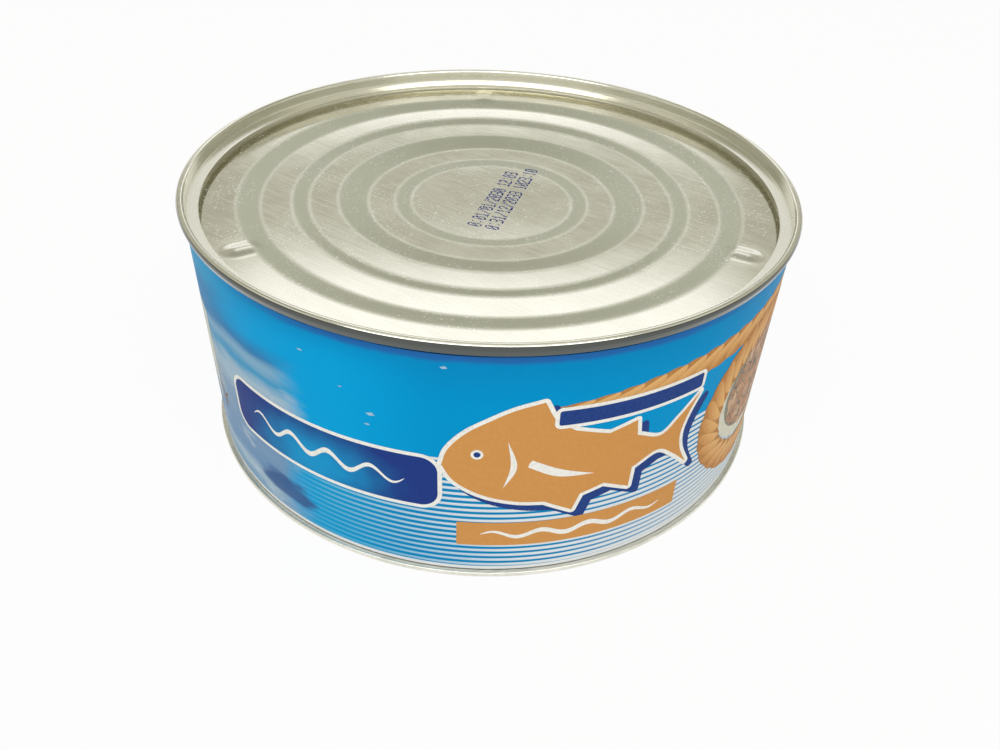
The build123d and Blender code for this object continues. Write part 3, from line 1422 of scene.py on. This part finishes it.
@dataclass
class LabelPrint:
    """Everything printed on the paper as shapes: badge, fish, bars, rope and dish, once for each print."""

    paper: PaperLabel
    prints: int = 2
    outline: float = 1.0
    shadow: tuple[float, float] = (2.2, -2.0)
    dish: tuple[float, float] = (82.0, 33.2)

    def __post_init__(self) -> None:
        """Make the stencil and work out the print's repeat."""
        self.stencil = Stencil(self.paper)
        self.repeat = self.paper.round_length / self.prints

    def printed(self, name: str, outlines: list[Outline], layer: Layer, material: Material,
                prints: int | None = None) -> None:
        """Print outlines in one ink.

        Args:
            name: the piece's name.
            outlines: closed outlines, as arc and height.
            layer: how far off the paper they lie.
            material: the ink.
            prints: how many prints round the can show them; None for all.
        """
        parts = []
        for k in range(prints or self.prints):
            for points in outlines:
                flat = self.stencil.polygon(points)
                self.stencil.wrap(flat, layer, k * self.repeat)
                parts.append(flat)
        finish_mesh(name, joined(parts), material, (), None)

    def build(self) -> None:
        """Print the layers from the paper up."""
        radius = self.paper.can.label_radius
        white = PlainInk("ink_white", "#EFEEEA", "#E4E3DE").build()
        navy = PlainInk("ink_navy", "#263F80", "#2B4687").build()
        tan = PlainInk("ink_tan", "#CC9152", "#CE9555").build()
        self.rope_and_dish()
        badge = rounded_box(-67.6, 21.9, -9.6, 36.3, 4.0)
        self.printed("badge_edge", [grown(badge, 1.0)], Layer.OUTLINE, white)
        badge_ink = BadgeInk("ink_badge", radius, self.repeat, (-40.0, 26.0)).build()
        self.printed("badge_field", [badge], Layer.FILL, badge_ink)
        self.printed("badge_waves", self.waves(-60.0, -17.0, 29.1), Layer.DETAIL, white)
        fish = Fish()
        body = fish.body()
        bar = rounded_box(15.6, 46.0, 51.4, 49.9, 0.6)
        edge = [body] + penned(body, self.outline)
        self.printed("fish_shadow", [moved(part, *self.shadow) for part in edge], Layer.SHADOW, navy)
        self.printed("fish_edge", edge, Layer.OUTLINE, white)
        self.printed("fish_field", [body], Layer.FILL, tan)
        self.printed("fish_lines", [fish.gill(), fish.fin(), fish.eye(1.35)], Layer.DETAIL, white)
        self.printed("fish_eye", [fish.eye(0.75)], Layer.TOP, navy)
        self.printed("bar_edge", [grown(bar, 0.9)], Layer.DETAIL, white)
        self.printed("bar_field", [bar], Layer.TOP, navy)
        self.marks()
        band = rounded_box(-5.4, 10.2, 50.2, 17.7, 0.3)
        self.printed("band_field", [band], Layer.FILL, tan)
        self.printed("band_wave", self.waves(0.0, 45.0, 13.9, 0.9), Layer.DETAIL, white)

    def marks(self) -> None:
        """Print thin sail-like slivers left of the badge, and add the scuffs that the paper has worn."""
        cream = PlainInk("ink_cream", "#DAD8C8", "#CFCDBE").build()
        slivers = [[(x, 23.0 + 2 * i), (x + 0.5, 23.0 + 2 * i), (x - 1.5, 48.0 - 3 * i)]
                   for i, x in enumerate((-77.5, -79.6, -81.8))]
        slivers.append([(-84.4, 18.0), (-83.0, 18.0), (-82.6, 45.0), (-87.0, 47.0), (-88.4, 30.0)])
        self.printed("sail_slivers", slivers, Layer.UNDER, cream)
        spar = [[(-83.0, 24.6), (-82.6, 23.4), (-78.9, 20.4), (-76.4, 23.6), (-77.0, 24.0), (-79.2, 21.8)],
                [(-80.2, 20.9), (-79.4, 17.4), (-78.2, 20.6)]]
        self.printed("sail_spar", spar, Layer.SHADOW, PlainInk("ink_brown", "#7D6A55", "#94795C").build())
        bare = PlainInk("bare_paper", "#A9C6DA", "#8FB5CE", 0.8).build()
        worn = [[(x - w, z), (x - w * 0.2, z - h), (x + w, z - h * 0.3), (x + w * 0.3, z + h)]
                for x, z, w, h in ((-24.0, 45.7, 1.1, 0.5), (-24.9, 42.7, 0.7, 0.3), (-8.2, 61.0, 0.8, 0.4),
                                   (-40.0, 57.0, 0.8, 0.25), (-30.6, 51.0, 0.5, 0.2))]
        # Wear shows on the front only
        self.printed("paper_scuffs", worn, Layer.OUTLINE, bare, prints=1)

    def waves(self, left: float, right: float, height: float, swing: float = 1.7) -> list[Outline]:
        """Draw a ribbon that runs in even waves.

        Args:
            left: arc of its start.
            right: arc of its end.
            height: height of its middle.
            swing: how far it swings up and down.

        Returns:
            Its outline, as the only one of a list.
        """
        count = 120
        turns = round((right - left) / 10.8)
        edges = []
        for side in (-1, 1):
            stretch = []
            for i in range(count + 1):
                share = i / count
                thick = 0.75 * math.sin(math.pi * share) ** 0.5 + 0.02
                swung = height + swing * math.sin(math.tau * share * turns)
                stretch.append((left + (right - left) * share, swung + side * thick))
            edges.append(stretch)
        return [edges[0] + edges[1][::-1]]

    def rope_and_dish(self) -> None:
        """Print the rope and the dish of flaked fish that it goes round."""
        route = RopeRing((82.0, 31.0), (23.0, 20.0))
        lead = Strands(route.lead, 76.0, width=6.2, pitch=5.6, slant=8.5, gap=0.35, taper=24.0)
        ring = Strands(route.ring, route.ring_length, width=8.4, pitch=4.7, slant=6.5, gap=0.4)
        dark = PlainInk("ink_rope_gaps", "#B9834B", "#AC7842").build()
        lit = RopeInk("ink_rope").build()
        dish_x, dish_y = self.dish
        cream = PlainInk("ink_dish", "#DAD7C6", "#C9C9BA").build()
        grey = PlainInk("ink_dish_shade", "#7F7F72", "#97968A").build()
        self.printed("dish_rim", [oval(dish_x, dish_y - 0.6, 19.6, 16.6)], Layer.SHADOW, cream)
        self.printed("dish_shade", [oval(dish_x - 0.4, dish_y + 0.4, 16.8, 14.2)], Layer.OUTLINE, grey)
        self.printed("dish_flakes", [self.ragged(dish_x + 0.5, dish_y - 0.2, 16.4, 14.0)], Layer.FILL,
                     FlakesInk("ink_flakes").build())
        self.printed("rope_gaps_lead", [lead.band()], Layer.UNDER, dark)
        self.strands("rope_strands_lead", lead, Layer.SHADOW, lit)
        self.printed_ring("rope_gaps_ring", ring, dark)
        self.strands("rope_strands_ring", ring, Layer.DETAIL, lit)

    def printed_ring(self, name: str, rope: Strands, material: Material) -> None:
        """Print a rope's dark band that closes on itself, as short lengths.

        Args:
            name: the piece's name.
            rope: the rope, whose end meets its start.
            material: the ink.
        """
        outlines = []
        count = 12
        length = rope.length / count
        for k in range(count):
            start = rope.length * k / count
            part = replace(rope, path=lambda along, start=start: rope.path(along + start), length=length)
            outlines.append(part.band())
        self.printed(name, outlines, Layer.FILL, material)

    def strands(self, name: str, rope: Strands, layer: Layer, material: Material) -> None:
        """Print all strands of a rope, each with its lit and its shaded side.

        Args:
            name: the piece's name.
            rope: the rope.
            layer: how far off the paper the strands lie.
            material: the ink.
        """
        parts = []
        for k in range(self.prints):
            for i in range(math.floor(rope.length / rope.pitch)):
                points, lit = rope.strand(i)
                flat = self.stencil.polygon(points)
                shade = flat.verts.layers.float.new(Strands.SIDE)
                flat.verts.ensure_lookup_table()
                for vert, value in zip(flat.verts, lit):
                    vert[shade] = value
                self.stencil.wrap(flat, layer, k * self.repeat)
                parts.append(flat)
        finish_mesh(name, joined(parts), material, (), None)

    def ragged(self, cx: float, cy: float, rx: float, ry: float) -> Outline:
        """Draw an oval with an uneven edge.

        Args:
            cx: arc of its middle.
            cy: height of its middle.
            rx: half its width.
            ry: half its height.

        Returns:
            The outline.
        """
        points = []
        for x, y in oval(cx, cy, rx, ry, 80):
            jag = 1 + 0.10 * noise.noise(Vector((x * 0.35, y * 0.35, 3.0)))
            points.append((cx + (x - cx) * jag, cy + (y - cy) * jag))
        return points


# ---------------------------------------------------------------- date code


@dataclass
class DateCode:
    """Two lines of numbers in ink dots on the lid's middle, as an ink jet leaves them."""

    end: TinEnd
    lines: tuple[str, str] = ("0:01/01/2030 12:03", "0:31/12/2033 1023:10")
    dot_pitch: float = 0.318
    row_pitch: float = 0.54
    dot_size: float = 0.24
    line_gap: float = 4.7
    origin: tuple[float, float] = (-5.8, -14.1)
    turn: float = 73.0
    ink: float = 0.02
    spread: float = 0.05  # how far a drop lands from its place

    GLYPHS = {
        "0": "01110 10001 10011 10101 11001 10001 01110",
        "1": "00100 01100 00100 00100 00100 00100 01110",
        "2": "01110 10001 00001 00110 01000 10000 11111",
        "3": "11110 00001 00001 01110 00001 00001 11110",
        "/": "00001 00001 00010 00100 01000 10000 10000",
        ":": "00000 00100 00000 00000 00000 00100 00000",
        " ": "00000 00000 00000 00000 00000 00000 00000",
    }

    def dots(self) -> Outline:
        """Lay out the dots.

        Returns:
            Their places, along the writing and across it.
        """
        places = []
        for row, line in enumerate(self.lines):
            for column, sign in enumerate(line):
                for j, bits in enumerate(self.GLYPHS[sign].split()):
                    for i, bit in enumerate(bits):
                        if bit == "1":
                            along = (column * 6 + i) * self.dot_pitch
                            places.append((along, -row * self.line_gap - j * self.row_pitch))
        return places

    def build(self) -> None:
        """Make one flat drop of ink for each dot."""
        rng = random.Random(4)
        turn = Matrix.Rotation(math.radians(self.turn), 2)
        bm = bmesh.new()
        for along, across in self.dots():
            jitter = Vector((rng.gauss(0, self.spread), rng.gauss(0, self.spread)))
            spot = turn @ (Vector((along, across)) + jitter) + Vector(self.origin)
            size = self.dot_size * rng.uniform(0.8, 1.15)
            made = bmesh.ops.create_circle(bm, cap_ends=True, segments=8, radius=size * MM)
            height = self.end.height_at(spot.length) + self.ink
            bmesh.ops.translate(bm, verts=made["verts"], vec=Vector((spot.x, spot.y, height)) * MM)
        bmesh.ops.recalc_face_normals(bm, faces=bm.faces[:])
        for face in bm.faces:
            if face.normal.z < 0:
                face.normal_flip()
        bmesh.ops.solidify(bm, geom=bm.faces[:], thickness=self.ink * MM)
        ink = PlainInk("ink_date", "#22327F", "#34438C", 0.5)
        finish_mesh("date_dots", bm, ink.build(), (), None)


# ---------------------------------------------------------------- studio


@dataclass
class Softbox:
    """A soft rectangular lamp, placed in metres and turned towards a point."""

    name: str
    place: tuple[float, float, float]
    size: tuple[float, float]
    power: float
    colour: str = "#FFFFFF"
    aim: tuple[float, float, float] = (0.0, 0.0, 0.04)

    def build(self) -> None:
        """Make the lamp."""
        lamp = bpy.data.lights.new(self.name, "AREA")
        lamp.shape = "RECTANGLE"
        lamp.size, lamp.size_y = self.size
        lamp.energy = self.power
        lamp.color = srgb(self.colour)[:3]
        holder = bpy.data.objects.new(self.name, lamp)
        holder.location = self.place
        holder.rotation_euler = (Vector(self.aim) - Vector(self.place)).to_track_quat("-Z", "Y").to_euler()
        holder.visible_camera = False
        bpy.context.collection.objects.link(holder)


@dataclass
class Studio:
    """Camera, floor, lamps and the light of the room.

    Lights are strengths of the world's background.
    """

    rim_radius: float
    camera_back: float = 2.61703
    camera_up: float = 2.03881
    yaw: float = 0.02196
    pitch: float = 0.66274
    roll: float = 0.04751
    lens: float = 30.2555
    low_light: float = 1.65  # two long windows behind the can, one above the other
    high_light: float = 1.27
    side_light: float = 1.2  # a lower window at each side of them
    low_rows: tuple = (0.285, 0.31, 0.345, 0.40)  # heights, as a share of straight up, where each fades
    low_reach: tuple = (0.34, 0.21)
    high_rows: tuple = (0.47, 0.51, 0.63, 0.69)
    high_reach: tuple = (0.34, 0.24)
    side_rows: tuple = (0.10, 0.15, 0.32, 0.36)
    side_reach: tuple = (0.20, 0.26, 0.42, 0.50)
    dip_light: float = 0.47  # the wall between them
    dip_rows: tuple = (0.22, 0.27, 0.63, 0.69)
    dark_light: float = 0.34
    front_light: float = 0.60
    upper_dimming: float = 0.2
    belt_light: float = 1.08  # the upper half of the wall in front
    belt_rows: tuple = (0.36, 0.46, 0.66, 0.80)
    skirting_light: float = 0.98  # the foot of the walls, as pale as the floor
    skirting_rows: tuple = (0.07, 0.03)
    ceiling_light: float = 0.80
    ceiling_rows: tuple = (0.80, 0.95)
    flank_dimming: float = 0.28  # the walls at the left and the right are darker by this share
    horizon_light: float = 1.15
    horizon_rows: tuple = (0.19, 0.12)
    wall_tint: str = "#FFFEEC"
    lamps: list[Softbox] = field(default_factory=lambda: [
        Softbox("high_key", (0.0, -0.75, 1.15), (2.0, 0.4), 9.0),
    ])

    def build(self) -> None:
        """Set the whole stage."""
        self.camera()
        self.floor()
        self.room()
        for lamp in self.lamps:
            lamp.build()
        bpy.context.scene.view_settings.view_transform = "Standard"

    def camera(self) -> None:
        """Place the camera; its place is in rim radii, so that it follows the can's size."""
        data = bpy.data.cameras.new("camera")
        data.sensor_width = 36.0
        data.lens = self.lens
        data.clip_start = 0.01
        holder = bpy.data.objects.new("camera", data)
        turn = (Matrix.Rotation(-self.yaw, 4, "Z") @ Matrix.Rotation(math.pi / 2 - self.pitch, 4, "X")
                @ Matrix.Rotation(self.roll, 4, "Z"))
        unit = self.rim_radius * MM
        holder.matrix_world = Matrix.Translation((0, -self.camera_back * unit, self.camera_up * unit)) @ turn
        bpy.context.collection.objects.link(holder)
        bpy.context.scene.camera = holder

    def floor(self) -> None:
        """A pale floor that shows white, with the can's shadow on it."""
        bm = bmesh.new()
        bmesh.ops.create_grid(bm, x_segments=1, y_segments=1, size=6.0)
        mesh = bpy.data.meshes.new("floor")
        bm.to_mesh(mesh)
        bm.free()
        floor = bpy.data.objects.new("floor", mesh)
        bpy.context.collection.objects.link(floor)
        s = Surface("white_sweep")
        tree = s.tree
        s.put("Base Color", srgb("#E6E6E6"))
        s.put("Roughness", 0.9)
        paths = add_node(tree, "ShaderNodeLightPath").outputs
        seen = calc(tree, "MAXIMUM", paths["Is Camera Ray"],
                    calc(tree, "MAXIMUM", paths["Is Glossy Ray"], paths["Is Transmission Ray"]))
        glow = add_node(tree, "ShaderNodeEmission", {"Color": (1, 1, 1, 1), "Strength": 1.0})
        share = times(tree, seen, 0.93)
        mix = add_node(tree, "ShaderNodeMixShader", {0: share, 1: s.shader.outputs[0], 2: glow.outputs[0]})
        output = next(n for n in tree.nodes if n.type == "OUTPUT_MATERIAL")
        tree.links.new(mix.outputs[0], output.inputs["Surface"])
        mesh.materials.append(s.material)

    def room(self) -> None:
        """Light the room, with windows behind the can, a pale belt in front and darker walls between.

        The lid mirrors them: its rings show the windows and the belt, and its slopes the walls.
        """
        world = bpy.data.worlds.new("room")
        bpy.context.scene.world = world
        world.use_nodes = True
        tree = world.node_tree
        tree.nodes.clear()
        direction = add_node(tree, "ShaderNodeTexCoord").outputs["Generated"]
        way = add_node(tree, "ShaderNodeSeparateXYZ", {0: direction})
        back, up = way.outputs["Y"], way.outputs["Z"]
        aside = calc(tree, "ABSOLUTE", way.outputs["X"])
        strength = mixed(tree, smooth(tree, back, 0.0, 0.45), self.ahead(tree, aside, up),
                         self.behind(tree, aside, up))
        strength = mixed(tree, smooth(tree, up, *self.skirting_rows), strength, self.skirting_light)
        strength = mixed(tree, smooth(tree, up, *self.ceiling_rows), strength, self.ceiling_light)
        tint = blend(tree, smooth(tree, strength, 0.6, 1.0), srgb(self.wall_tint), (1, 1, 1, 1))
        glow = add_node(tree, "ShaderNodeBackground", {"Color": tint, "Strength": strength})
        output = add_node(tree, "ShaderNodeOutputWorld")
        tree.links.new(glow.outputs[0], output.inputs["Surface"])

    def behind(self, tree: Tree, aside: Socket, up: Socket) -> Socket:
        """Light from behind the can: two long windows and one at each side, on a dim wall.

        Args:
            tree: the world's node tree.
            aside: how far to a side a direction points.
            up: how far up it points.

        Returns:
            The strength.
        """
        low = times(tree, window(tree, up, *self.low_rows), smooth(tree, aside, *self.low_reach))
        high = times(tree, window(tree, up, *self.high_rows), smooth(tree, aside, *self.high_reach))
        sides = times(tree, window(tree, aside, *self.side_reach), window(tree, up, *self.side_rows))
        strength = calc(tree, "MULTIPLY_ADD", window(tree, up, *self.dip_rows),
                        self.dip_light - self.dark_light, self.dark_light)
        for panes, light in ((low, self.low_light), (high, self.high_light), (sides, self.side_light)):
            strength = calc(tree, "MULTIPLY_ADD", panes, light - self.dip_light, strength)
        return strength

    def ahead(self, tree: Tree, aside: Socket, up: Socket) -> Socket:
        """Light from in front of the can: a pale foot and a pale belt, darker at the flanks and high up.

        Args:
            tree: the world's node tree.
            aside: how far to a side a direction points.
            up: how far up it points.

        Returns:
            The strength.
        """
        strength: object = self.front_light
        for rows, light in ((smooth(tree, up, *self.horizon_rows), self.horizon_light),
                            (window(tree, up, *self.belt_rows), self.belt_light)):
            strength = calc(tree, "MULTIPLY_ADD", rows, light - self.front_light, strength)
        strength = calc(tree, "MULTIPLY_ADD", smooth(tree, up, 0.6, 0.9), -self.upper_dimming, strength)
        flank = times(tree, smooth(tree, aside, 0.55, 0.8), smooth(tree, up, 0.75, 0.6))
        return times(tree, strength, calc(tree, "MULTIPLY_ADD", flank, -self.flank_dimming, 1.0))


# ---------------------------------------------------------------- main


def main() -> None:
    """Build the stage and the can."""
    logging.basicConfig(level=logging.INFO, format="%(message)s")
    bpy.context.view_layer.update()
    can = CanSizes.from_frame()
    Studio(can.rim_radius).build()
    Tinwork(can).build()
    paper = PaperLabel(can)
    label = LabelPrint(paper)
    paper.build(label.repeat)
    label.build()
    DateCode(TinEnd(can, is_lid=True)).build()


if __name__ == "__main__":
    main()
